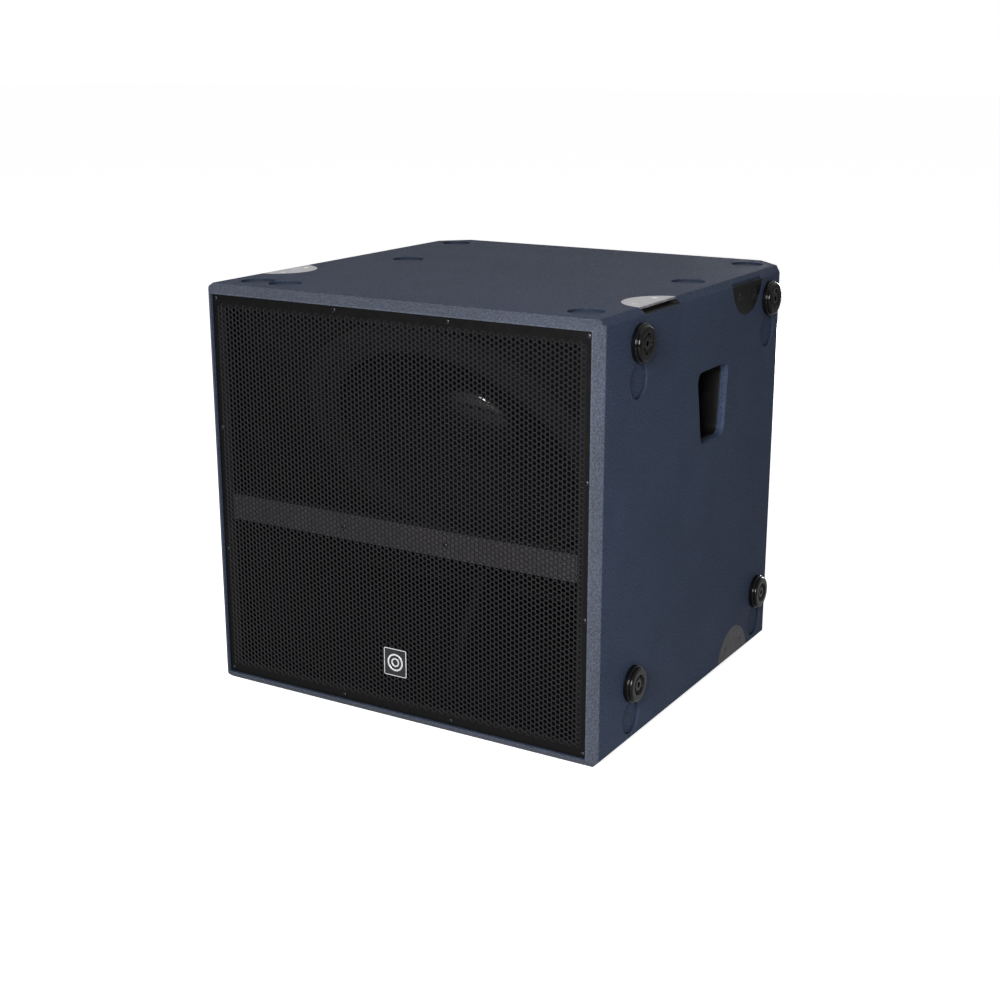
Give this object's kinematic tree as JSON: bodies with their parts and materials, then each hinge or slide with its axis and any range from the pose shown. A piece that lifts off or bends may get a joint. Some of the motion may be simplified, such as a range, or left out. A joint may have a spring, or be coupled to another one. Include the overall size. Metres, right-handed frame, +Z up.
{
  "type": "subwoofer cabinet",
  "caption": "Square bass loudspeaker cabinet with a perforated steel grille, inclined cone driver, side pucks, recessed handles and steel edge plates.",
  "frame": {"origin": "centre of the footprint, on the plane that the four feet stand on", "axes": "+Z up, -Y out of the grille, +X to the right-hand side seen with the grille at the left of it"},
  "size_m": [0.624, 0.604, 0.578],
  "materials": {
    "cabinet_paint": "fine textured polyurea-like coating on plywood, satin to matt",
    "inner_wood": "plywood with a thin black stain, matt",
    "grille_steel": "satin black powder coat",
    "badge_metal": "dark plate with a bare bright border",
    "screw_steel": "black zinc",
    "plate_steel": "brushed, clear",
    "puck_rubber": "smooth black, slightly glossy",
    "black_plastic": "moulded, satin",
    "socket_plastic": "moulded black",
    "cable_skin": "smooth jacket",
    "cast_basket": "black powder-coated casting",
    "motor_steel": "black plated steel",
    "ferrite": "pressed ferrite, matt",
    "coil_wire": "enamelled winding on a former",
    "spider_cloth": "resin-stiffened cloth",
    "cone_paper": "pressed pulp, coated",
    "surround_rubber": "treated cloth roll"
  },
  "bodies": {
    "cabinet": {"top_panel": "cabinet_paint", "bottom_panel": "cabinet_paint", "left_panel": "cabinet_paint", "right_panel": "cabinet_paint", "rear_panel": "cabinet_paint", "rear_corner_left": "cabinet_paint", "rear_corner_right": "cabinet_paint", "front_frame": "inner_wood", "driver_baffle": "inner_wood", "port_panel": "inner_wood", "centre_gusset": "inner_wood", "grille": "grille_steel", "badge_plate": "badge_metal", "grille_screw_01": "screw_steel", "grille_screw_02": "screw_steel", "grille_screw_03": "screw_steel", "grille_screw_04": "screw_steel", "grille_screw_05": "screw_steel", "grille_screw_06": "screw_steel", "grille_screw_07": "screw_steel", "grille_screw_08": "screw_steel", "grille_screw_09": "screw_steel", "grille_screw_10": "screw_steel", "grille_screw_11": "screw_steel", "grille_screw_12": "screw_steel", "grille_screw_13": "screw_steel", "grille_screw_14": "screw_steel", "edge_plate_top_left": "plate_steel", "edge_plate_top_right": "plate_steel", "edge_plate_rear_upper_left": "plate_steel", "edge_plate_rear_lower_left": "plate_steel", "edge_plate_rear_upper_right": "plate_steel", "edge_plate_rear_lower_right": "plate_steel", "side_puck_front_upper_left": "puck_rubber", "side_puck_front_lower_left": "puck_rubber", "side_puck_rear_upper_left": "puck_rubber", "side_puck_rear_lower_left": "puck_rubber", "side_puck_front_upper_right": "puck_rubber", "side_puck_front_lower_right": "puck_rubber", "side_puck_rear_upper_right": "puck_rubber", "side_puck_rear_lower_right": "puck_rubber", "foot_front_left": "puck_rubber", "foot_rear_left": "puck_rubber", "foot_front_right": "puck_rubber", "foot_rear_right": "puck_rubber", "handle_cup_left": "black_plastic", "handle_cup_right": "black_plastic", "connector_dish": "black_plastic", "socket_left": "socket_plastic", "socket_right": "socket_plastic", "speaker_cable": "cable_skin", "driver_basket": "cast_basket", "motor_top_plate": "motor_steel", "motor_back_plate": "motor_steel", "motor_magnet": "ferrite", "spider": "spider_cloth", "surround": "surround_rubber"},
    "cone_assembly": {"cone": "cone_paper", "dust_cap": "cone_paper", "voice_coil": "coil_wire"}
  },
  "joints": [
    {"name": "cone_travel", "type": "slide", "parent": "cabinet", "child": "cone_assembly", "axis": [0, -0.848, -0.5299], "range_m": [-0.008, 0.008], "stiffness_N_per_m": 6000, "deforming": ["surround", "spider"]}
  ]
}
